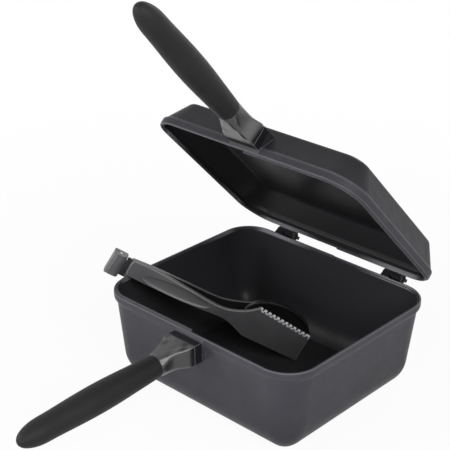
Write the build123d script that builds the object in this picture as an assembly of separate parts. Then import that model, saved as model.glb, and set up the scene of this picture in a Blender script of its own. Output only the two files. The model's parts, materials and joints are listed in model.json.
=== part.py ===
from build123d import *
import math
import os

os.makedirs("parts", exist_ok=True)

# Double sided flip pan: a deep base pan and a shallow lid pan, hinged at the back, each with
# its own handle at the front, and a pair of cooking tongs that lies in the base pan.
# Millimetres and degrees. Origin: middle of the base pan's flat bottom.
# +X to the right along the front, -Y towards the handles, +Z up. The lid stands open.

# ---- pan rims and walls -------------------------------------------------------------------
rim_width = 205.0
rim_length = 179.7
rim_corner_radius = 27.5
wall = 3.0
rim_land = 3.2
lip_height = 6.0
lip_edge_radius = 0.9
inner_step_depth = 5.5
inner_step_radius = 2.0

base_depth = 78.7
base_flare = 2.56
base_taper = 5.39
base_lip_blend = 3.0
base_lip_radii = (4.0, 5.0)
base_turn_depth = 58.3
base_edge_inset = 21.7
base_floor = 4.0
base_inner_rise = 22.0
base_inner_edge_inset = 23.7
base_inner_blend = 11.0

lid_depth = 28.2
lid_flare = 1.8
lid_lip_blend = 1.5
lid_lip_radii = (1.5, 1.0)
lid_edge_inset = 13.9
lid_edge_radius = 4.5
lid_floor = 3.5
lid_inner_edge_inset = 16.6
lid_inner_edge_radius = 4.5
lid_inner_blend = 3.0

# How far a cut runs past the solid that it cuts
overshoot = 1.0

# ---- rim seal: half a tongue and half a groove on each pan ---------------------------------
tongue_width = 1.5
tongue_height = 1.2
groove_clearance = 0.2
rim_gap = 0.4

# ---- hinge ---------------------------------------------------------------------------------
hinge_reach = 7.8
hinge_drop = 1.7
lid_open_angle = 45.5
lid_stop_angle = 100.0
barrel_radius = 4.3
base_lug_width = 8.4
lid_lug_width = 9.1
lug_gap = 0.9
hinge_left_x = -61.35
hinge_right_x = 56.15
hinge_pin_radius = 1.75
hinge_running_clearance = 0.05
hinge_side_clearance = 0.1
pin_head_radius = 2.7
pin_head_height = 1.2
pin_recess_radius = 2.5
pin_recess_depth = 0.8
hinge_washer_radius = 4.0
lug_web_depth = 9.0
lug_web_drop = 1.0
base_web_angles = (90.0, -90.0)
lid_web_angles = (120.0, 90.0, -37.0)
heel_clearance = 0.45
heel_width = 3.0

# ---- handles -------------------------------------------------------------------------------
boss_reach = 8.5
boss_half_width = 14.3
boss_top_drop = 3.2
boss_bottom_drop = 20.3
boss_throat_radius = 2.2
handle_drop = 13.2
handle_tilt = 1.4
bracket_length = 28.7
bracket_web = 15.0
bracket_root_inset = 0.3
bracket_collar_inset = 0.2
# Sections along the bracket: distance from the seat, half width as a share of the root's, top
# and bottom brought in by, top and bottom corner radii
bracket_sections = [(0.0, 1.0, 0.0, 0.0, 0.8, 1.5), (6.0, 0.98, 0.0, 0.0, 0.9, 2.0),
                    (16.0, 0.70, 0.4, 0.2, 2.0, 4.5), (23.0, 0.64, 0.8, 1.1, 5.5, 6.5)]
spigot_radius = 6.5
spigot_bore_radius = 4.6
spigot_length = 42.0
bolt_radius = 2.5
bolt_clearance = 0.1
bolt_length = 25.0
bolt_head_radius = 4.25
bolt_head_height = 5.0
bolt_socket_width = 4.0
bolt_socket_depth = 2.5
boss_hole_spare = 1.3
spring_washer_radius = 4.4
spring_washer_height = 1.3
spring_washer_slot = 1.0
grip_collar_radius = 9.05
grip_length = 129.4
# Grip's radius at distances from its collar
grip_swell = [(21.5, 10.05), (42.0, 10.9), (62.5, 11.1), (83.0, 10.5), (103.5, 9.75), (119.0, 8.2)]
grip_start_draft = 0.06
grip_fit_clearance = 0.05
grip_end_clearance = 0.3
grip_screw_position = 25.0
grip_screw_radius = 1.5
grip_screw_head_radius = 3.0
grip_screw_head_height = 2.0
grip_screw_seat = 8.0
grip_screw_reach = 5.0
grip_screw_slot_width = 0.9
grip_screw_slot_length = 3.6
grip_screw_slot_depth = 1.0
grip_screw_well_clearance = 0.3

# ---- tongs ---------------------------------------------------------------------------------
tong_tip_x = 9.95
tong_tip_y = 28.2
tong_floor_clearance = 0.25
tong_heading = 42.5
tong_slope = 29.45
arm_length = 163.4
arm_depth = 4.4
arm_root_thickness = 3.9
arm_waist_thickness = 3.4
arm_root_bulge = 1.5
arm_edge_radius = 1.0
blade_thickness = 2.4
blade_root = -58.0
arm_waist = -90.0
arm_splay = 6.0
pivot_overhang = 11.8
knuckle_radius = 2.6
knuckle_gap = 0.3
tongue_plate = 1.3
tongue_plate_depth = 2.0
root_overlap = 2.0
neck_range = (1.2, 15.0)
tong_pin_radius = 1.25
tong_pin_clearance = 0.05
tong_pin_recess = 0.4
cap_overhang = 17.7
cap_length = 12.1
cap_low = -6.2
cap_high = 14.8
cap_proud = 0.2
cap_cheek = 3.0
cap_skin = 1.3
cap_end = 2.2
cap_corner_radius = 1.5
cap_groove_width = 2.4
cap_groove_depth = 1.4
# Edges of the arms: distance along from the blade's tip, height over its lower corner
front_lower_edge = [(-89.0, 3.6), (-126.0, 1.0), (-163.4, 0.6)]
rear_lower_edge = [(-89.0, 3.6), (-126.0, 0.4), (-163.4, -0.3)]
front_upper_edge = [(-163.4, 15.6), (-148.0, 16.6), (-121.0, 15.6), (-96.0, 14.0), (-77.0, 14.4)]
rear_upper_edge = [(-163.4, 13.0), (-148.0, 13.8), (-121.0, 13.8), (-96.0, 13.4), (-77.0, 14.2)]
blade_shoulder = [(-63.0, 19.9), (-51.5, 29.8)]
blade_heel = [(-52.2, -1.6), (-61.0, 1.6), (-71.0, 4.5)]
blade_tip = [(-1.6, 26.7), (0.0, 0.0)]
head_shoulder = [(-62.0, 18.4), (-46.0, 24.0)]
head_heel = [(-46.0, 2.0), (-58.0, 3.4), (-71.0, 4.4)]
tooth_start = 3.5
tooth_count = 11
tooth_pitch = 4.2
tooth_notch_width = 2.0
tooth_notch_depth = 2.4
tooth_slant = 20.0
recess_along = -120.0
recess_height = 7.3
recess_turn = 3.0
recess_half_length = 30.5
recess_half_height = 5.7
recess_depth = 1.9
head_along = -25.0
head_height = 12.5
head_half_length = 32.0
head_half_height = 19.0
head_depth = 4.5
head_proud = 0.5
head_shell = 2.0
head_rim = 1.6
spring_strip = 0.4
spring_length = 22.0
spring_height = 7.0
spring_setback = 2.0
spring_toe_in = 0.1
spring_mouth = 2.3
spring_spread = 2.45

# ---- places worked out from the sizes above --------------------------------------------------
corner_x = rim_width / 2 - rim_corner_radius
corner_y = rim_length / 2 - rim_corner_radius
hinge_y = rim_length / 2 + hinge_reach
hinge_z = base_depth - hinge_drop
groove_width = tongue_width + 2 * groove_clearance
groove_depth = tongue_height + groove_clearance
handle_seat_y = -(rim_length / 2 + boss_reach)
spigot_end = bracket_length + spigot_length
bolt_seat = bracket_web + spring_washer_height
hinge_axis = Axis((0, hinge_y, hinge_z), (-1, 0, 0))
arm_root = -arm_length
pivot_along = arm_root - pivot_overhang


# ---- helpers -------------------------------------------------------------------------------
def softened(sketch, corners):
    """Round the named corners of a sketch: a list of (point, radius)."""
    for point, radius in corners:
        vertex = sketch.vertices().sort_by_distance(point)[0]
        sketch = fillet(vertex, radius)
    return sketch


def rounded_form(profile, height_range):
    """Solid with the same section on its four sides and corners. The profile's x runs outward
    from a corner's centre and its y is height."""
    upright = Plane.XZ * profile
    low, high = height_range
    form = Pos(0, 0, (low + high) / 2) * Box(2 * corner_x, 2 * corner_y, high - low)
    quarter = revolve(upright, Axis.Z, 90)
    for index in range(4):
        turn = Rot(0, 0, 90 * index)
        reach, span = (corner_x, corner_y) if index % 2 == 0 else (corner_y, corner_x)
        side = extrude(Pos(reach, span, 0) * upright, amount=2 * span, dir=(0, -1, 0))
        form += turn * side
        form += turn * Pos(reach, span, 0) * quarter
    return form


def rim_band(outer_inset, inner_inset, low, high, side):
    """Half of a ring that follows the rim, on the side of X given by its sign."""
    def plate(inset):
        outline = RectangleRounded(rim_width - 2 * inset, rim_length - 2 * inset,
                                   rim_corner_radius - inset)
        return extrude(Pos(0, 0, low) * outline, amount=high - low)
    half = Pos(side * rim_width / 2, 0, 0) * Box(rim_width, 2 * rim_length, 4 * base_depth)
    return (plate(outer_inset) - plate(inner_inset)) & half


def rod(radius, start, end, place=Location()):
    """Cylinder along a placed frame's Z, from start to end."""
    return place * Pos(0, 0, (start + end) / 2) * Cylinder(radius, end - start)


# ---- pans, each in its rim frame: rim plane at z = 0, the pan below it ----------------------
def pan_outside(depth, flare, lip_blend, lip_radii, wall_edges, rounding=()):
    """Lip and wall. wall_edges draws the wall on from the foot of the lip to the bottom."""
    lip = (rim_corner_radius, -lip_height)
    foot = (rim_corner_radius - flare, -lip_height - lip_blend)
    wall_line, edge = wall_edges(foot)
    outline = Curve() + [Polyline((0, 0), (rim_corner_radius, 0), lip, foot), wall_line,
                         Polyline(edge, (0, -depth), (0, 0))]
    corners = [((rim_corner_radius, 0), lip_edge_radius), (lip, lip_radii[0]),
               (foot, lip_radii[1])]
    profile = softened(make_face(outline.edges()), corners + [(edge, r) for r in rounding])
    return rounded_form(profile, (-depth, 0))


def pan_cavity(depth, flare, blend, wall_edges, rounding=()):
    land = rim_corner_radius - rim_land
    step = (land, -inner_step_depth)
    foot = (rim_corner_radius - flare - wall, -inner_step_depth - blend)
    wall_line, edge = wall_edges(foot)
    outline = Curve() + [Polyline((0, lip_height), (land, lip_height), step, foot), wall_line,
                         Polyline(edge, (0, -depth), (0, lip_height))]
    corners = [(step, inner_step_radius), (foot, inner_step_radius)]
    profile = softened(make_face(outline.edges()), corners + [(edge, r) for r in rounding])
    return rounded_form(profile, (-depth, lip_height))


def turned_in(turn_inset, turn_depth, edge_inset, depth):
    """Straight wall down to its turn, then an arc that runs into the flat bottom's edge."""
    def wall_edges(foot):
        turn = (rim_corner_radius - turn_inset, -turn_depth)
        edge = (rim_corner_radius - edge_inset, -depth)
        down_wall = (turn[0] - foot[0], turn[1] - foot[1])
        return Curve() + [Line(foot, turn), TangentArc(turn, edge, tangent=down_wall)], edge
    return wall_edges


def straight_in(edge_inset, depth):
    """Sloping wall, straight from the lip's foot to the bottom."""
    def wall_edges(foot):
        edge = (rim_corner_radius - edge_inset, -depth)
        return Line(foot, edge), edge
    return wall_edges


def handle_frame():
    """Handle axis, from the middle of the boss's seat outward."""
    tilt = math.radians(handle_tilt)
    outward = (0, -math.cos(tilt), -math.sin(tilt))
    return Plane(origin=(0, handle_seat_y, -handle_drop), x_dir=(1, 0, 0), z_dir=outward)


def handle_boss():
    front = -rim_length / 2
    lean = math.tan(math.radians(handle_tilt))
    seat_top = (handle_seat_y - (handle_drop - boss_top_drop) * lean, -boss_top_drop)
    seat_low = (handle_seat_y + (boss_bottom_drop - handle_drop) * lean, -boss_bottom_drop)
    throat = (front, -boss_top_drop)
    outline = Polyline(seat_top, throat, (front, -lip_edge_radius),
                       (front + rim_land, -lip_edge_radius),
                       (front + 2 * boss_reach, -boss_bottom_drop), seat_low, close=True)
    side_view = softened(make_face(outline), [(throat, boss_throat_radius)])
    lateral = Plane.YZ.offset(-boss_half_width) * side_view
    return extrude(lateral, amount=2 * boss_half_width, dir=(1, 0, 0))


def lug(low_x, high_x, axis_height, web_angles, heel=False):
    """Hinge lug from the rear lip to a barrel round the hinge axis, in the rim frame. Its web
    meets the barrel at the angles given."""
    rear = rim_length / 2
    root = [(rear, -lug_web_depth), (rear - rim_land, -lug_web_depth),
            (rear - rim_land, -lug_web_drop), (rear, -lug_web_drop)]
    crown = [(hinge_y + barrel_radius * math.cos(math.radians(angle)),
              axis_height + barrel_radius * math.sin(math.radians(angle))) for angle in web_angles]
    side_view = make_face(Polyline(*root, *crown, close=True))
    side_view += Pos(hinge_y, axis_height) * Circle(barrel_radius)
    if heel:
        heel_reach = hinge_reach - heel_clearance
        stub = Pos(heel_reach / 2, 0) * Rectangle(heel_reach, heel_width)
        side_view += Pos(hinge_y, axis_height) * Rot(0, 0, 90 - lid_stop_angle) * stub
    return extrude(Plane.YZ.offset(low_x) * side_view, amount=high_x - low_x, dir=(1, 0, 0))


def hinge_rod(radius, low_x, high_x, axis_height):
    across = Plane(origin=(low_x, hinge_y, axis_height), z_dir=(1, 0, 0))
    return rod(radius, 0, high_x - low_x, across.location)


def pan(outside, cavity, tongue_side, lugs):
    body = outside + handle_boss()
    for piece in lugs:
        body += piece
    body -= cavity
    tongue_outer = rim_land - tongue_width
    body += rim_band(tongue_outer + groove_clearance, rim_land, -lip_edge_radius, tongue_height,
                     tongue_side)
    body -= rim_band(tongue_outer, rim_land + wall, -groove_depth, lip_height, -tongue_side)
    bolt_end = bolt_seat - bolt_length
    seat = handle_frame().location
    return body - rod(bolt_radius, bolt_end - boss_hole_spare, overshoot, seat)


base_lug_spans = [(x - lug_gap / 2 - base_lug_width, x - lug_gap / 2)
                  for x in (hinge_left_x, hinge_right_x)]
lid_lug_spans = [(x + lug_gap / 2, x + lug_gap / 2 + lid_lug_width)
                 for x in (hinge_left_x, hinge_right_x)]


def lift_base(solid):
    return Pos(0, 0, base_depth) * solid


def lift_lid(solid):
    """From the lid's rim frame to its open place: turned over, seated, then swung open."""
    closed = Pos(0, 0, base_depth + rim_gap) * mirror(solid, about=Plane.XY)
    return closed.rotate(hinge_axis, lid_open_angle)


def make_base_pan():
    wall_inset = base_flare + base_taper
    draft = base_taper / (base_turn_depth - lip_height - base_lip_blend)
    outside = pan_outside(base_depth, base_flare, base_lip_blend, base_lip_radii,
                          turned_in(wall_inset, base_turn_depth, base_edge_inset, base_depth))
    inner_depth = base_depth - base_floor
    inner_turn_depth = inner_depth - base_inner_rise
    inner_inset = wall_inset + wall - draft * (base_turn_depth - inner_turn_depth)
    cavity = pan_cavity(inner_depth, base_flare, base_inner_blend,
                        turned_in(inner_inset, inner_turn_depth, base_inner_edge_inset,
                                  inner_depth))
    lugs = [lug(low, high, -hinge_drop, base_web_angles) for low, high in base_lug_spans]
    body = pan(outside, cavity, -1, lugs)
    for low, high in base_lug_spans:
        body -= hinge_rod(hinge_pin_radius + hinge_running_clearance, low - overshoot,
                          high + overshoot, -hinge_drop)
    return lift_base(body)


def make_lid_pan():
    outside = pan_outside(lid_depth, lid_flare, lid_lip_blend, lid_lip_radii,
                          straight_in(lid_edge_inset, lid_depth), [lid_edge_radius])
    inner_depth = lid_depth - lid_floor
    cavity = pan_cavity(inner_depth, lid_flare, lid_inner_blend,
                        straight_in(lid_inner_edge_inset, inner_depth), [lid_inner_edge_radius])
    axis_height = hinge_drop + rim_gap
    lugs = [lug(low, high, axis_height, lid_web_angles, heel=True)
            for low, high in lid_lug_spans]
    body = pan(outside, cavity, 1, lugs)
    for low, high in lid_lug_spans:
        body -= hinge_rod(hinge_pin_radius, low - overshoot, high + overshoot, axis_height)
        body -= hinge_rod(pin_recess_radius, high - pin_recess_depth, high + overshoot,
                          axis_height)
    return lift_lid(body)


# ---- hinge pins and washers, on the axis ----------------------------------------------------
def make_hinge_pin(x):
    head_face = x - lug_gap / 2 - base_lug_width - hinge_side_clearance
    end = x + lug_gap / 2 + lid_lug_width - pin_recess_depth
    head = hinge_rod(pin_head_radius, head_face - pin_head_height, head_face, hinge_z)
    return head + hinge_rod(hinge_pin_radius, head_face, end, hinge_z)


def make_hinge_washer(x):
    low = x - lug_gap / 2 + hinge_side_clearance
    high = x + lug_gap / 2
    disc = hinge_rod(hinge_washer_radius, low, high, hinge_z)
    return disc - hinge_rod(hinge_pin_radius + hinge_running_clearance, low - overshoot,
                            high + overshoot, hinge_z)


# ---- handle parts, in the handle frame -------------------------------------------------------
def bracket_section(height, half_width, top, bottom, top_radius, bottom_radius):
    """Section across the bracket. Local +Y faces the rim plane."""
    corners = [(-half_width, bottom), (half_width, bottom), (half_width, top), (-half_width, top)]
    outline = make_face(Polyline(*corners, close=True))
    rounding = [(corners[0], bottom_radius), (corners[1], bottom_radius),
                (corners[2], top_radius), (corners[3], top_radius)]
    return Pos(0, 0, height) * softened(outline, rounding)


def make_bracket():
    top = handle_drop - boss_top_drop
    bottom = handle_drop - boss_bottom_drop
    root = boss_half_width - bracket_root_inset
    end = grip_collar_radius - bracket_collar_inset
    sections = [bracket_section(along, share * root, top - top_in, bottom - bottom_in, *radii)
                for along, share, top_in, bottom_in, *radii in bracket_sections]
    collar = Pos(0, 0, bracket_length) * Circle(end)
    body = loft([*sections, collar])
    body += rod(spigot_radius, bracket_length - overshoot, spigot_end)
    body -= rod(spigot_bore_radius, bracket_web, spigot_end + overshoot)
    body -= rod(bolt_radius + bolt_clearance, -overshoot, bracket_web + overshoot)
    body -= grip_screw_rod(grip_screw_radius, 0, spigot_radius + overshoot)
    return body


def grip_screw_rod(radius, start, end):
    """Cylinder along the grip screw's axis, which points away from the rim plane."""
    across = Plane(origin=(0, 0, bracket_length + grip_screw_position), z_dir=(0, -1, 0))
    return rod(radius, start, end, across.location)


def make_bracket_bolt():
    shank = rod(bolt_radius, bolt_seat - bolt_length, bolt_seat)
    head = rod(bolt_head_radius, bolt_seat, bolt_seat + bolt_head_height)
    socket_outline = RegularPolygon(bolt_socket_width / 2, 6, major_radius=False)
    socket_floor = bolt_seat + bolt_head_height - bolt_socket_depth
    socket = extrude(Pos(0, 0, socket_floor) * socket_outline, amount=bolt_socket_depth)
    return shank + head - socket


def make_spring_washer():
    ring = rod(spring_washer_radius, bracket_web, bolt_seat)
    ring -= rod(bolt_radius + bolt_clearance, bracket_web - overshoot, bolt_seat + overshoot)
    slot = Pos(spring_washer_radius, 0, bracket_web) * Box(
        2 * spring_washer_radius - bolt_radius, spring_washer_slot, 4 * spring_washer_height)
    return ring - slot


def make_grip():
    start = bracket_length
    end = start + grip_length
    middle = [(radius, start + along) for along, radius in grip_swell]
    swell = Spline((grip_collar_radius, start), *middle, (0, end),
                   tangents=[(grip_start_draft, 1), (-1, 0)])
    outline = Curve() + [swell, Polyline((0, end), (0, start), (grip_collar_radius, start))]
    body = revolve(Plane.XZ * make_face(outline.edges()), Axis.Z, 360)
    body -= rod(spigot_radius + grip_fit_clearance, start - overshoot,
                spigot_end + grip_end_clearance)
    body -= grip_screw_rod(grip_screw_radius + grip_fit_clearance, 0, grip_screw_seat + overshoot)
    body -= grip_screw_rod(grip_screw_head_radius + grip_screw_well_clearance, grip_screw_seat,
                           2 * grip_screw_seat)
    return body


def make_grip_screw():
    tip = spigot_radius - grip_screw_reach / 2
    top = grip_screw_seat + grip_screw_head_height
    screw = grip_screw_rod(grip_screw_radius, tip, grip_screw_seat)
    screw += grip_screw_rod(grip_screw_head_radius, grip_screw_seat, top)
    across = Plane(origin=(0, 0, bracket_length + grip_screw_position), z_dir=(0, -1, 0))
    for turn in (0, 90):
        cut = Rot(0, 0, turn) * Pos(0, 0, top) * Box(
            grip_screw_slot_length, grip_screw_slot_width, 2 * grip_screw_slot_depth)
        screw -= across.location * cut
    return screw


# ---- tongs, in a frame along the front arm ---------------------------------------------------
def tong_frame():
    """Origin at the blade's lower front corner, X towards the blade's tip, Y across the arm and
    Z out of its front face."""
    heading, slope = math.radians(tong_heading), math.radians(tong_slope)
    along = (math.cos(heading) * math.cos(slope), math.sin(heading) * math.cos(slope),
             -math.sin(slope))
    facing = (math.sin(heading), -math.cos(heading), 0)
    return Plane(origin=(tong_tip_x, tong_tip_y, base_floor + tong_floor_clearance),
                 x_dir=along, z_dir=facing)


def pivot_rod(radius, low, high):
    """Cylinder on the tongs' pivot, from low to high across the arms."""
    across = Plane(origin=(pivot_along, 0, -arm_depth), z_dir=(0, 1, 0))
    return rod(radius, low, high, across.location)


def block(x_range, y_range, z_range):
    corners = [sum(pair) / 2 for pair in (x_range, y_range, z_range)]
    sizes = [pair[1] - pair[0] for pair in (x_range, y_range, z_range)]
    return Pos(*corners) * Box(*sizes)


def arm_body(upper, end_points, lower):
    """Arm with its own blade or head end, as thick as its place along the arm asks."""
    middle = (arm_root - arm_root_bulge, (lower[-1][1] + upper[0][1]) / 2)
    outline = Curve() + [Spline(*upper), Polyline(upper[-1], *end_points, lower[0]),
                         Spline(*lower), ThreePointArc(lower[-1], middle, upper[0])]
    flat = extrude(make_face(outline.edges()), amount=arm_depth, dir=(0, 0, -1))
    start = arm_root - 2 * arm_root_bulge
    side_view = Polygon((start, 0), (overshoot, 0), (overshoot, -blade_thickness),
                        (blade_root, -blade_thickness), (arm_waist, -arm_waist_thickness),
                        (arm_root, -arm_root_thickness), (start, -arm_root_thickness),
                        align=None)
    band = extrude(Plane.XZ * side_view, amount=rim_width, dir=(0, 1, 0), both=True)
    arm = flat & band
    return fillet(arm.faces().sort_by(Axis.Z)[-1].outer_wire().edges(), arm_edge_radius)


def arm_root_with(knuckles, width_range):
    """Thin plate behind the arm's handle, with the knuckles that it carries on the pivot."""
    plate_z = (-tongue_plate_depth - tongue_plate, -tongue_plate_depth)
    root = block((pivot_along, arm_root + root_overlap), width_range, plate_z)
    for low, high in knuckles:
        root += pivot_rod(knuckle_radius, low, high)
        root += block((pivot_along - knuckle_radius, pivot_along + knuckle_radius), (low, high),
                      (-arm_depth, -tongue_plate_depth))
    for low, high in knuckles:
        root -= pivot_rod(tong_pin_radius + tong_pin_clearance, low - overshoot,
                          high + overshoot)
    return root


inside_low = cap_low + cap_cheek + knuckle_gap
inside_high = cap_high - cap_cheek - knuckle_gap
third = (inside_high - inside_low - 2 * knuckle_gap) / 3
front_knuckles = [(inside_low, inside_low + third), (inside_high - third, inside_high)]
rear_knuckles = [(inside_low + third + knuckle_gap, inside_high - third - knuckle_gap)]


def make_front_arm():
    arm = arm_body(front_upper_edge + blade_shoulder, blade_tip, blade_heel + front_lower_edge)
    arm += arm_root_with(front_knuckles, (inside_low, inside_high))
    neck_start = arm_root - cap_overhang + cap_length + knuckle_gap
    arm += block((neck_start, arm_root + root_overlap), neck_range,
                 (-tongue_plate_depth - tongue_plate, -tongue_plate_depth))
    rear_low, rear_high = rear_knuckles[0]
    arm -= pivot_rod(knuckle_radius + knuckle_gap, rear_low - knuckle_gap,
                     rear_high + knuckle_gap)
    corner_x, corner_y = blade_shoulder[-1]
    fall = math.atan2(blade_tip[0][1] - corner_y, blade_tip[0][0] - corner_x)
    notch = Rot(0, 0, -tooth_slant) * Rectangle(tooth_notch_width, 2 * tooth_notch_depth)
    edge = Pos(corner_x, corner_y, overshoot) * Rot(0, 0, math.degrees(fall))
    for index in range(tooth_count):
        place = edge * Pos(tooth_start + tooth_pitch * index, 0, 0)
        arm -= extrude(place * notch, amount=2 * blade_thickness, dir=(0, 0, -1))
    scoop = scale(Sphere(1), by=(recess_half_length, recess_half_height, recess_depth))
    return arm - Pos(recess_along, recess_height, 0) * Rot(0, 0, recess_turn) * scoop


def make_rear_arm():
    """Modelled like the front arm, then turned over and opened about the pivot."""
    arm = arm_body(rear_upper_edge + head_shoulder, [], head_heel + rear_lower_edge)
    arm += arm_root_with(rear_knuckles, rear_knuckles[0])
    head_place = Pos(head_along, head_height, head_proud)
    head = head_place * Ellipse(head_half_length, head_half_height)
    arm += extrude(head, amount=head_depth, dir=(0, 0, -1))
    scoop = scale(Sphere(1), by=(head_half_length - head_rim, head_half_height - head_rim,
                                 head_depth - head_shell))
    arm -= head_place * Pos(0, 0, -head_depth) * scoop
    turned = mirror(arm, about=Plane.XY.offset(-arm_depth))
    pivot = Axis((pivot_along, 0, -arm_depth), (0, 1, 0))
    return turned.rotate(pivot, arm_splay)


def make_end_cap():
    start = arm_root - cap_overhang
    back = -2 * arm_depth - cap_proud
    cap = block((start, start + cap_length), (cap_low, cap_high), (back, cap_proud))
    cap = fillet(cap.edges().filter_by(Axis.Y), cap_corner_radius)
    cap -= block((start + cap_end, start + 2 * cap_length),
                 (cap_low + cap_cheek, cap_high - cap_cheek), (back + cap_skin, cap_proud - cap_skin))
    groove_z = (-arm_depth - cap_groove_width / 2, -arm_depth + cap_groove_width / 2)
    cap -= block((start - overshoot, pivot_along - 2 * tong_pin_radius),
                 (cap_high - cap_groove_depth, cap_high + overshoot), groove_z)
    return cap - pivot_rod(tong_pin_radius, cap_low - overshoot, cap_high + overshoot)


def make_tong_pin():
    return pivot_rod(tong_pin_radius, cap_low + tong_pin_recess, cap_high - tong_pin_recess)


def make_tong_spring():
    """Hairpin leaf between the arms: one leg lies on each."""
    start = arm_root + spring_setback
    middle = (inside_low + inside_high) / 2
    front_near = -arm_root_thickness
    front_far = front_near + spring_toe_in
    rear_near = front_near - spring_mouth
    rear_far = rear_near - spring_spread
    legs = Polygon((start, front_near), (start + spring_length, front_far),
                   (start + spring_length, front_far - spring_strip),
                   (start, front_near - spring_strip), align=None)
    legs += Polygon((start, rear_near), (start + spring_length, rear_far),
                    (start + spring_length, rear_far + spring_strip),
                    (start, rear_near + spring_strip), align=None)
    legs += Polygon((start, front_near), (start + spring_strip, front_near),
                    (start + spring_strip, rear_near), (start, rear_near), align=None)
    strip = extrude(Plane.XZ * legs, amount=spring_height / 2, both=True)
    return Pos(0, middle, 0) * strip


if __name__ == "__main__":
    nodes = {"base_pan": make_base_pan(), "lid_pan": make_lid_pan()}
    seat = handle_frame().location
    for name, maker in (("handle_bracket", make_bracket), ("bracket_bolt", make_bracket_bolt),
                        ("spring_washer", make_spring_washer), ("grip", make_grip),
                        ("grip_screw", make_grip_screw)):
        piece = seat * maker()
        nodes["base_" + name] = lift_base(piece)
        nodes["lid_" + name] = lift_lid(piece)
    for side, x in (("left", hinge_left_x), ("right", hinge_right_x)):
        nodes["hinge_pin_" + side] = make_hinge_pin(x)
        nodes["hinge_washer_" + side] = make_hinge_washer(x)
    for name, maker in (("front_arm", make_front_arm), ("rear_arm", make_rear_arm),
                        ("end_cap", make_end_cap), ("pivot_pin", make_tong_pin),
                        ("spring", make_tong_spring)):
        nodes["tong_" + name] = tong_frame().location * maker()
    for name, solid in nodes.items():
        export_step(solid, f"parts/{name}.step")
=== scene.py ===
import json
import math

import bpy
from mathutils import Matrix, Vector


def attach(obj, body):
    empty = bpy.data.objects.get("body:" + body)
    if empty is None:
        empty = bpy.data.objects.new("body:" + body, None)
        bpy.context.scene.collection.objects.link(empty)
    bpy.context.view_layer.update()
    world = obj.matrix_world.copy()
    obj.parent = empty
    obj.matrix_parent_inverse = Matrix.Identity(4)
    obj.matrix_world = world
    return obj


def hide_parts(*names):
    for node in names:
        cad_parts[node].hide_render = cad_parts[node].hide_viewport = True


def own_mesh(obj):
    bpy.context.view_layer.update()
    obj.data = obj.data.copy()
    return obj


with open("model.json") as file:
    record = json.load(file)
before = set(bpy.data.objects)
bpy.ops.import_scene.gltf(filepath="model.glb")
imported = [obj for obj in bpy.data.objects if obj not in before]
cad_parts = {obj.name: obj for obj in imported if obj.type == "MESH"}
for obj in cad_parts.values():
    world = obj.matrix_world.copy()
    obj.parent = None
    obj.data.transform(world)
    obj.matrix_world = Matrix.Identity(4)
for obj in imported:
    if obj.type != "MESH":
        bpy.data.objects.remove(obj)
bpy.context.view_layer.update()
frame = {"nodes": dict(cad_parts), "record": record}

scene = bpy.context.scene

# ---- sizes of the solids, in metres ---------------------------------------------------------
RIM = (0.205, 0.1797)
BASE_DEPTH = 0.0787
RIM_GAP = 0.0004
BASE_FLOOR, LID_FLOOR = -0.0767, -0.02645     # middle of each pan's floor, from its rim
HINGE = Vector((0, 0.09765, 0.0770))
OPEN = math.radians(45.5)

# frame along the tongs' front arm: x to the blade's tip, y across the arm, z out of its face
HEADING, SLOPE = math.radians(42.5), math.radians(29.45)
TIP = Vector((0.00995, 0.0282, 0.00425))
ALONG = Vector((math.cos(HEADING) * math.cos(SLOPE), math.sin(HEADING) * math.cos(SLOPE),
                -math.sin(SLOPE)))
FACE = Vector((math.sin(HEADING), -math.cos(HEADING), 0))
ACROSS = FACE.cross(ALONG)

# places in that frame
ARM_ROOT, HEAD_START = -0.1634, -0.052
TOOTH_LINE = ((-0.0515, 0.0298), (-0.0016, 0.0267))
TOOTH_BAND = (0.0034, 0.0028)
CAP_START, CAP_LENGTH, CAP_MIDDLE, CAP_DEPTH = -0.1811, 0.0121, 0.0043, 0.0044

# how far a bevelled normal turns where an edge starts to show, and where it shows in full
EDGE_TURN = (0.03, 0.12)


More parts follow.
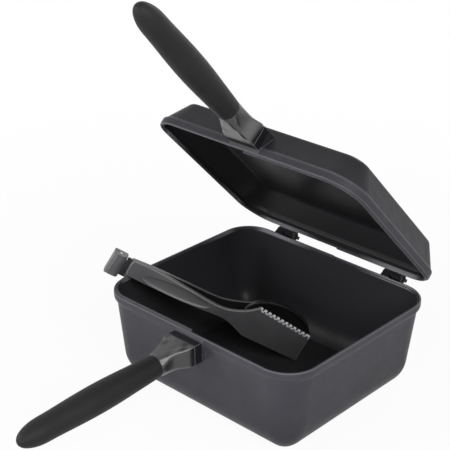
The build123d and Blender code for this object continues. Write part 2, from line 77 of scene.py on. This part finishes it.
# ---- node helpers ---------------------------------------------------------------------------
class Nodes:
    """The node tree of a material or world, with short calls for its nodes."""

    def __init__(self, owner):
        owner.use_nodes = True
        self.owner = owner
        self.tree = owner.node_tree
        self.tree.nodes.clear()

    def add(self, kind, inputs=None, **settings):
        node = self.tree.nodes.new("ShaderNode" + kind)
        for key, value in settings.items():
            setattr(node, key, value)
        for key, value in (inputs or {}).items():
            self.put(node.inputs[key], value)
        return node

    def put(self, socket, value):
        if isinstance(value, bpy.types.NodeSocket):
            self.tree.links.new(value, socket)
        else:
            socket.default_value = value

    def math(self, operation, *values):
        node = self.add("Math", operation=operation)
        for socket, value in zip(node.inputs, values):
            self.put(socket, value)
        return node.outputs[0]

    def vector(self, operation, *values):
        node = self.add("VectorMath", operation=operation)
        for socket, value in zip(node.inputs, values):
            self.put(socket, value)
        return node.outputs["Value" if operation in ("LENGTH", "DOT_PRODUCT") else "Vector"]

    def split(self, vector):
        return self.add("SeparateXYZ", {"Vector": vector}).outputs

    def place(self):
        return self.add("TexCoord").outputs["Object"]

    def facing(self):
        """The way the surface faces, in the object's own frame."""
        return self.add("TexCoord").outputs["Normal"]

    def noise(self, place, scale, detail=4.0):
        return self.add("TexNoise", {"Vector": place, "Scale": scale, "Detail": detail,
                                     "Roughness": 0.55}).outputs["Fac"]

    def cells(self, place, scale):
        node = self.add("TexVoronoi", {"Vector": place, "Scale": scale}, feature="F1")
        return node.outputs["Color"], node.outputs["Distance"]

    def fit(self, value, low, high, to_low=0.0, to_high=1.0):
        """Carries low..high over to to_low..to_high, and holds the ends outside them."""
        node = self.add("MapRange", {"Value": value, "From Min": low, "From Max": high,
                                     "To Min": to_low, "To Max": to_high})
        return node.outputs["Result"]

    def mix(self, amount, first, second):
        node = self.add("Mix", data_type="RGBA")
        self.put(node.inputs["Factor"], amount)
        for socket, value in ((node.inputs[6], first), (node.inputs[7], second)):
            self.put(socket, value if isinstance(value, bpy.types.NodeSocket) else (*value, 1.0))
        return node.outputs[2]

    def mix_number(self, amount, first, second):
        node = self.add("Mix", data_type="FLOAT")
        for index, value in ((0, amount), (2, first), (3, second)):
            self.put(node.inputs[index], value)
        return node.outputs[0]

    def clouded(self, place, scale, first, second):
        """A colour that drifts between two, in clouds."""
        return self.mix(self.fit(self.noise(place, scale), 0.3, 0.7), first, second)

    def uneven(self, place, scale, low, high):
        """A number that drifts between two, in clouds."""
        return self.fit(self.noise(place, scale), 0.3, 0.7, low, high)

    def bump(self, height, distance, strength, normal):
        return self.add("Bump", {"Height": height, "Distance": distance, "Strength": strength,
                                 "Normal": normal}).outputs["Normal"]

    def rounded(self, radius):
        return self.add("Bevel", {"Radius": radius}, samples=4).outputs["Normal"]

    def edge(self, radius):
        """How near a point is to a sharp edge, from 0 to 1."""
        turned = self.vector("SUBTRACT", self.rounded(radius),
                             self.add("NewGeometry").outputs["Normal"])
        return self.fit(self.vector("LENGTH", turned), *EDGE_TURN)

    def finish(self, color, roughness, normal, **levels):
        """Closes the tree; levels are the shader's even settings, named as its sockets are."""
        shader = self.add("BsdfPrincipled", {"Base Color": color, "Roughness": roughness,
                                             "Normal": normal})
        for key, value in levels.items():
            socket = key.replace("_", " ").title().replace("Ior", "IOR")
            shader.inputs[socket].default_value = value
        self.add("OutputMaterial", {"Surface": shader.outputs["BSDF"]})
        return self.owner


# ---- pan coating ----------------------------------------------------------------------------
# Each pair is where a band of the coating starts and where it is full. Heights are from the
# rim, up being towards the hollow's mouth, and insets are from the rim's outline.
FLOOR_TURN = (0.016, 0.014)       # above the floor, where facing up begins to mean inside
HOLLOW_TOP = (-0.0008, -0.0016)
HOLLOW_INSET = (0.0005, 0.0012)
LUG_OUTSET = (0.0004, 0.0016)
LIP_FOOT = (-0.0075, -0.0058)
WALL_TOP = -0.010
RIM_LINE = (-0.003, -0.002)
BEND_FOOT, BEND_BLEND = -0.030, 0.004
WALL_RISE = 0.10                  # how far the base's inner wall faces up

BLUE = 1.18                       # how much more blue than red the coating's greys have
FLECK_COLOR = (0.10, 0.10, 0.11)
# painted shade on the boss and the hinge lugs
LUG_SHADE_BLACK = (0.006, 0.006, 0.0066)
# painted highlight along sharp edges
EDGE_HIGHLIGHT_GREY = (0.22, 0.22, 0.23)
# painted highlight along the rim's inner edge
RIM_SHINE = (0.30, 0.30, 0.32)


def even_wall(n, normal, where):
    """Shades the wall as one plain slope, so the slight bend under the rim doesn't show."""
    turned = n.add("VectorTransform", {"Vector": normal}, vector_type="NORMAL",
                   convert_from="WORLD", convert_to="OBJECT").outputs[0]
    level = n.vector("NORMALIZE", n.vector("MULTIPLY", turned, (1.0, 1.0, 0.0)))
    plain = n.vector("ADD", level, (0.0, 0.0, WALL_RISE))
    plain = n.add("VectorTransform", {"Vector": plain}, vector_type="NORMAL",
                  convert_from="OBJECT", convert_to="WORLD").outputs[0]
    mixed = n.add("Mix", data_type="VECTOR")
    for index, value in ((0, where), (4, normal), (5, plain)):
        n.put(mixed.inputs[index], value)
    return n.vector("NORMALIZE", mixed.outputs[1])


def pan_regions(n, rim_place, rim_facing, floor_middle):
    """Masks of the hollow, the handle's boss and the hinge's lugs, and how far the surface
    leans outward."""
    x, y, z = n.split(rim_place)
    outward = n.vector("NORMALIZE", n.vector("MULTIPLY", rim_place, (1.0, 1.0, 0.0)))
    lean = n.vector("DOT_PRODUCT", outward, rim_facing)
    low_down = n.fit(z, *(floor_middle + height for height in FLOOR_TURN))
    upward = n.math("MULTIPLY", n.split(rim_facing)[2], low_down)
    inward = n.fit(n.math("SUBTRACT", upward, lean), -0.05, 0.05)
    hollow = n.math("MULTIPLY", inward, n.fit(z, *HOLLOW_TOP))
    for across, span in ((x, RIM[0]), (y, RIM[1])):
        inside = n.fit(n.math("ABSOLUTE", across), *(span / 2 - inset for inset in HOLLOW_INSET))
        hollow = n.math("MULTIPLY", hollow, inside)
    boss = n.fit(y, *(-RIM[1] / 2 - outset for outset in LUG_OUTSET))
    hinge = n.fit(y, *(RIM[1] / 2 + outset for outset in LUG_OUTSET))
    return hollow, boss, hinge, lean


def pan_coating(name, rim_frame, floor_middle, shades, bent_wall=False):
    """Speckled non-stick coating, with painted shade in the hollow and on the boss and lugs.
    rim_frame turns a place and a facing into the closed pan's frame, hollow side up, rim at 0.
    shades are the greys of the lip (lighter, a painted highlight), the wall under it, the wall at
    the bottom (darker, painted shade) and the hollow (painted shade).
    bent_wall says that the hollow's wall has a bend, which even_wall hides."""
    n = Nodes(bpy.data.materials.new(name))
    place = n.place()
    rim_place, rim_facing = rim_frame(n, place, n.facing())
    z = n.split(rim_place)[2]
    hollow, boss, hinge, lean = pan_regions(n, rim_place, rim_facing, floor_middle)
    lugs = n.math("MAXIMUM", boss, hinge)

    # coating, with flecks on the outside, painted shade towards the wall's foot, in the hollow and
    # on the boss and lugs, and a painted highlight on the lip band
    *outside, inside = shades
    lip, top, bottom = [(grey, grey, BLUE * grey) for grey in outside]
    # painted shade: the outer wall darkens from under the lip down to the floor
    outer = n.mix(n.fit(z, floor_middle, WALL_TOP), bottom, top)
    # painted highlight: the lip band is lighter than the wall under it
    outer = n.mix(n.fit(z, *LIP_FOOT), outer, lip)
    outer = n.mix(n.fit(n.noise(place, 38.0), 0.35, 0.65, 0.0, 0.16), outer, (0.0, 0.0, 0.0))
    colours, distance = n.cells(place, 1500.0)
    chosen = n.fit(n.add("SeparateColor", {"Color": colours}).outputs[0], 0.80, 0.92)
    fleck = n.math("MULTIPLY", chosen, n.fit(distance, 0.42, 0.15))
    color = n.mix(n.math("MULTIPLY", fleck, 0.45), outer, FLECK_COLOR)
    # painted shade: the hollow is blacker than the outside
    color = n.mix(hollow, color, (inside, inside, 1.1 * inside))
    # painted shade: the boss and lugs turn black
    color = n.mix(n.math("MULTIPLY", lugs, 0.92), color, LUG_SHADE_BLACK)

    # painted highlights along the sharp edges, and a painted highlight line along the rim's inner
    # edge
    edge_highlight = n.mix_number(boss, n.fit(hinge, 0.0, 1.0, 0.45, 0.06), 0.70)
    edge_highlight = n.math("MULTIPLY", edge_highlight, n.fit(hollow, 0.6, 0.2))
    # painted highlight: sharp edges turn pale grey
    color = n.mix(n.math("MULTIPLY", n.edge(0.0006), edge_highlight), color, EDGE_HIGHLIGHT_GREY)
    inner_edge = n.math("MULTIPLY", n.fit(lean, -0.15, -0.30), n.fit(lean, -0.97, -0.85))
    rim_line = n.math("MULTIPLY", inner_edge, n.fit(z, *RIM_LINE, 0.0, 0.6))
    rim_line = n.math("MULTIPLY", rim_line, n.fit(lugs, 0.5, 0.0))
    color = n.mix(rim_line, color, RIM_SHINE)

    rough = n.mix_number(hollow, n.uneven(place, 120.0, 0.40, 0.48), 0.30)
    smooth = n.rounded(0.0006)
    if bent_wall:
        upper = n.fit(z, BEND_FOOT - BEND_BLEND, BEND_FOOT + BEND_BLEND)
        smooth = even_wall(n, smooth, n.math("MULTIPLY", hollow, upper))
    normal = n.bump(n.noise(place, 1300.0, 3.0), 0.00014, 0.5, smooth)
    return n.finish(color, rough, normal, specular_ior_level=0.10)


def base_frame(n, place, facing):
    return n.vector("SUBTRACT", place, (0.0, 0.0, BASE_DEPTH)), facing


def lid_frame(n, place, facing):
    """Swings the lid shut about the hinge, then turns it over."""
    def shut(vector, center):
        swung = n.add("VectorRotate", {"Vector": vector, "Center": center, "Axis": (1.0, 0.0, 0.0),
                                       "Angle": OPEN}, rotation_type="AXIS_ANGLE")
        return n.vector("MULTIPLY", swung.outputs["Vector"], (1.0, 1.0, -1.0))
    rim_place = n.vector("ADD", shut(place, HINGE), (0.0, 0.0, BASE_DEPTH + RIM_GAP))
    return rim_place, shut(facing, (0.0, 0.0, 0.0))


# ---- metal and grips ------------------------------------------------------------------------
def lacquered_metal():
    """Smooth black lacquer, with a painted highlight along its edges."""
    n = Nodes(bpy.data.materials.new("bracket_lacquer"))
    place = n.place()
    color = n.clouded(place, 60.0, (0.004, 0.004, 0.0045), (0.007, 0.007, 0.008))
    # painted highlight along the bracket's edges
    color = n.mix(n.math("MULTIPLY", n.edge(0.0004), 0.6), color, EDGE_HIGHLIGHT_GREY)
    rough = n.uneven(place, 240.0, 0.27, 0.31)
    normal = n.bump(n.noise(place, 900.0, 2.0), 0.00002, 0.12, n.rounded(0.0009))
    return n.finish(color, rough, normal, specular_ior_level=0.9)


def soft_grip():
    """Matt moulding with a fine leathery grain."""
    n = Nodes(bpy.data.materials.new("grip_soft_black"))
    place = n.place()
    color = n.clouded(place, 45.0, (0.0075, 0.0075, 0.008), (0.0105, 0.0105, 0.011))
    rough = n.uneven(place, 180.0, 0.56, 0.64)
    leather = n.cells(place, 2200.0)[1]
    fine = n.bump(leather, 0.00003, 0.3, n.rounded(0.0004))
    normal = n.bump(n.noise(place, 500.0, 3.0), 0.00005, 0.2, fine)
    return n.finish(color, rough, normal, specular_ior_level=0.22, sheen_weight=0.02,
                    sheen_roughness=0.4)


def steel(name, low, high, base_rough):
    """Turned steel: fine brush marks in a slightly uneven plating."""
    n = Nodes(bpy.data.materials.new(name))
    place = n.place()
    color = n.clouded(place, 220.0, (low,) * 3, (high,) * 3)
    stretched = n.add("Mapping", {"Vector": place, "Scale": (4000.0, 300.0, 4000.0)})
    marks = n.noise(stretched.outputs["Vector"], 1.0, 2.0)
    rough = n.fit(marks, 0.3, 0.7, base_rough - 0.06, base_rough + 0.08)
    normal = n.bump(marks, 0.00001, 0.35, n.rounded(0.0002))
    return n.finish(color, rough, normal, metallic=1.0)


# ---- nylon ----------------------------------------------------------------------------------
HANDLE_LIT_GREY = (0.105, 0.105, 0.108)
INNER_SHADE = (0.004, 0.004, 0.0045)
NECK_SHADE = (0.003, 0.003, 0.003)
NYLON_SHINE = (0.24, 0.24, 0.25)
TOOTH_HIGHLIGHT = (0.62, 0.62, 0.64)


def nylon(name, part):
    """Moulded nylon, with painted light and shade. The front arm has painted shade on its neck, a
    handle painted paler where more light falls on it and painted highlights on its teeth, and the
    rear arm has painted shade on the side that faces the front arm and over most of its head."""
    n = Nodes(bpy.data.materials.new(name))
    place = n.place()
    color = n.clouded(place, 70.0, (0.050, 0.050, 0.053), (0.064, 0.064, 0.067))
    # painted highlight along the edges
    shine = n.math("MULTIPLY", n.edge(0.0005), 0.45)
    facing = n.vector("DOT_PRODUCT", n.facing(), FACE)
    offset = n.vector("SUBTRACT", place, TIP)
    along = n.vector("DOT_PRODUCT", offset, ALONG)
    across = n.vector("DOT_PRODUCT", offset, ACROSS)
    if part == "front_arm":
        # painted light: the handle is paler where more light reaches it
        handle_light = n.math("MULTIPLY", n.fit(along, -0.072, -0.108, 0.0, 0.75),
                         n.fit(along, -0.155, -0.132, 0.20, 1.0))
        color = n.mix(handle_light, color, HANDLE_LIT_GREY)
    if part == "rear_arm":
        head = n.fit(along, HEAD_START - 0.004, HEAD_START)
        # painted shade on the rear arm's side facing the front arm and over most of its head
        shaded_side = n.math("MAXIMUM", n.fit(facing, 0.1, 0.4),
                       n.math("MULTIPLY", head, n.fit(facing, -0.4, -0.1)))
        color = n.mix(shaded_side, color, INNER_SHADE)
        # painted highlight: stronger along the rear arm's top edge, faint on its head
        shine = n.math("MULTIPLY", shine, n.fit(head, 0.0, 1.0, 1.4, 0.15))
    color = n.mix(shine, color, NYLON_SHINE)
    if part == "front_arm":
        # painted shade in the gap between the cap and the arm
        neck = n.fit(along, ARM_ROOT - 0.0008, ARM_ROOT - 0.0016)
        color = n.mix(neck, color, NECK_SHADE)
        # painted highlight on the teeth's walls and edges
        (start, high), (end, low) = TOOTH_LINE
        depth = n.math("SUBTRACT", n.fit(along, start, end, high, low), across)
        teeth = n.math("MULTIPLY", n.fit(depth, *TOOTH_BAND), n.fit(along, start, start + 0.001))
        cut = n.math("MAXIMUM", n.fit(facing, 0.9, 0.6), n.edge(0.0012))
        color = n.mix(n.math("MULTIPLY", teeth, cut), color, TOOTH_HIGHLIGHT)
    rough = n.uneven(place, 260.0, 0.36, 0.46)
    normal = n.bump(n.noise(place, 900.0, 3.0), 0.00002, 0.12, n.rounded(0.0006))
    return n.finish(color, rough, normal, specular_ior_level=0.5)


# ---- the solids get their finishes ----------------------------------------------------------
finishes = {
    "base_pan": pan_coating("base_pan_coating", base_frame, BASE_FLOOR,
                            (0.054, 0.050, 0.035, 0.024), bent_wall=True),
    # the lid's greys are a darker copy of the base's: painted shade over the whole lid
    "lid_pan": pan_coating("lid_pan_coating", lid_frame, LID_FLOOR,
                           (0.040, 0.021, 0.016, 0.0125)),
}
for part in ("front_arm", "rear_arm", "end_cap"):
    finishes["tong_" + part] = nylon("nylon_" + part, part)
by_slot = {
    "bracket_metal": lacquered_metal(),
    "grip_moulding": soft_grip(),
    "steel": steel("plated_steel", 0.42, 0.55, 0.34),
    "dark_steel": steel("blackened_steel", 0.018, 0.03, 0.42),
}
for row in frame["record"]["subparts"]:
    node = frame["nodes"][row["node"]]
    material = finishes.get(row["node"]) or by_slot[row["material_slot"]]
    node.data.materials.clear()
    node.data.materials.append(material)


# ---- pieces of the tongs that stand for their solids ----------------------------------------
CAP_VOXEL = 0.00028
CAP_FRONT = 0.003                               # depth over which the face's shaping dies out
CAP_ROLL_START, CAP_ROLL = 0.0070, 0.0016       # along the cap, and how deep it rolls in
CAP_HALF_WIDTH, CAP_CROWN = 0.0105, 0.0006
GROOVE_PLACE, GROOVE_WIDTH, GROOVE_DEPTH = 0.0022, 0.0004, 0.0005


def stand_in(node, name):
    """A new object with a copy of a solid's mesh."""
    piece = bpy.data.objects.new(name, frame["nodes"][node].data.copy())
    scene.collection.objects.link(piece)
    return piece


def shape_cap_face(mesh):
    """Crowns the cap's face, rolls it in towards the arm and cuts the groove across it."""
    for vertex in mesh.vertices:
        offset = vertex.co - TIP
        along, across, out = (offset.dot(axis) for axis in (ALONG, ACROSS, FACE))
        along -= CAP_START
        front = min(max((out + CAP_DEPTH) / CAP_FRONT, 0.0), 1.0)
        roll = max(along - CAP_ROLL_START, 0.0) / (CAP_LENGTH - CAP_ROLL_START)
        crown = abs(across - CAP_MIDDLE) / CAP_HALF_WIDTH
        groove = math.exp(-((along - GROOVE_PLACE) / GROOVE_WIDTH) ** 2)
        depth = CAP_ROLL * roll ** 2 + CAP_CROWN * crown ** 4 + GROOVE_DEPTH * groove
        vertex.co -= FACE * (front * depth)


def end_cap():
    """The cap's solid with moulded edges and a shaped face."""
    cap = stand_in("tong_end_cap", "tong_cap_moulding")
    remesh = cap.modifiers.new("voxels", "REMESH")
    remesh.mode, remesh.voxel_size = "VOXEL", CAP_VOXEL
    smooth = cap.modifiers.new("soft", "SMOOTH")
    smooth.factor, smooth.iterations = 0.5, 6
    graph = bpy.context.evaluated_depsgraph_get()
    mesh = bpy.data.meshes.new_from_object(cap.evaluated_get(graph))
    cap.modifiers.clear()
    cap.data = mesh
    shape_cap_face(mesh)
    mesh.polygons.foreach_set("use_smooth", [True] * len(mesh.polygons))
    mesh.materials.clear()
    mesh.materials.append(finishes["tong_end_cap"])
    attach(cap, "tongs")
    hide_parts("tong_end_cap")


def closing_spring():
    """The spring's solid, riding on the tongs with a mesh of its own; the real spring flattens
    against the front arm as the arms are squeezed.
    """
    spring = stand_in("tong_spring", "tong_hairpin_spring")
    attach(spring, "tongs")
    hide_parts("tong_spring")
    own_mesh(spring)


end_cap()
closing_spring()


# ---- floor, light and camera ----------------------------------------------------------------
FLOOR_SIDE, FLOOR_DROP = 6.0, 0.0001
SKY_LEVEL = 0.16
LAMP_TARGET = (0, 0, 0.08)
LAMPS = (     # name, place, side of its square, watts
    ("front_low", (0.232, -1.317, 0.268), 0.8, 9.0),
    ("front_right", (1.002, -0.467, 0.854), 0.8, 11.5),
    ("left", (-0.827, -0.935, 0.586), 0.8, 8.5),
    ("right", (1.205, 0.212, 0.651), 0.8, 2.0),
    ("back", (-0.262, 1.484, 0.98), 0.9, 7.0),
)


def seen_directly(n):
    """1 for rays of the camera, of gloss and of transmission, which see the white background."""
    ray = n.add("LightPath").outputs
    either = n.math("MAXIMUM", ray["Is Camera Ray"], ray["Is Glossy Ray"])
    return n.math("MAXIMUM", either, ray["Is Transmission Ray"])


def floor():
    side, height = FLOOR_SIDE, -FLOOR_DROP
    mesh = bpy.data.meshes.new("floor")
    corners = [(-side, -side, height), (side, -side, height), (side, side, height),
               (-side, side, height)]
    mesh.from_pydata(corners, [], [(0, 1, 2, 3)])
    plane = bpy.data.objects.new("floor", mesh)
    scene.collection.objects.link(plane)
    n = Nodes(bpy.data.materials.new("floor_white"))
    matt = n.add("BsdfDiffuse", {"Color": (0.88, 0.88, 0.88, 1.0)})
    glow = n.add("Emission", {"Color": (1.0, 1.0, 1.0, 1.0), "Strength": 1.0})
    reach = n.fit(n.vector("LENGTH", n.place()), 0.18, 0.75, 0.93, 1.0)
    both = n.add("MixShader", {0: n.math("MULTIPLY", seen_directly(n), reach),
                               1: matt.outputs[0], 2: glow.outputs[0]})
    n.add("OutputMaterial", {"Surface": both.outputs[0]})
    mesh.materials.append(n.owner)


def sky():
    """A dim white sky that lights the object, and plain white where it is seen."""
    n = Nodes(bpy.data.worlds.new("studio"))
    scene.world = n.owner
    strength = n.fit(seen_directly(n), 0.0, 1.0, SKY_LEVEL, 1.0)
    background = n.add("Background", {"Color": (1.0, 1.0, 1.0, 1.0), "Strength": strength})
    n.add("OutputWorld", {"Surface": background.outputs[0]})


def softbox(name, place, side, power):
    data = bpy.data.lights.new(name, "AREA")
    data.shape = "RECTANGLE"
    data.size = data.size_y = side
    data.energy = power
    lamp = bpy.data.objects.new(name, data)
    lamp.location = place
    aim = Vector(LAMP_TARGET) - Vector(place)
    lamp.rotation_euler = aim.to_track_quat("-Z", "Y").to_euler()
    scene.collection.objects.link(lamp)


def camera(azimuth, elevation, roll, place, focal):
    """Angles in degrees, place in metres, focal length in millimetres."""
    az, el, turn = map(math.radians, (azimuth, elevation, roll))
    back = Vector((math.sin(az) * math.cos(el), -math.cos(az) * math.cos(el), math.sin(el)))
    level = Vector((math.cos(az), math.sin(az), 0))
    up = back.cross(level)
    right = level * math.cos(turn) + up * math.sin(turn)
    top = up * math.cos(turn) - level * math.sin(turn)
    data = bpy.data.cameras.new("camera")
    data.sensor_width = 36.0
    data.lens = focal
    data.clip_start, data.clip_end = 0.05, 20.0
    cam = bpy.data.objects.new("camera", data)
    cam.matrix_world = Matrix((
        (right.x, top.x, back.x, place[0]), (right.y, top.y, back.y, place[1]),
        (right.z, top.z, back.z, place[2]), (0, 0, 0, 1)))
    scene.collection.objects.link(cam)
    scene.camera = cam


floor()
sky()
for lamp in LAMPS:
    softbox(*lamp)
camera(42.789, 25.369, 0.561, (0.5667, -0.6630, 0.5517), 97.292)
scene.view_settings.view_transform = "Standard"
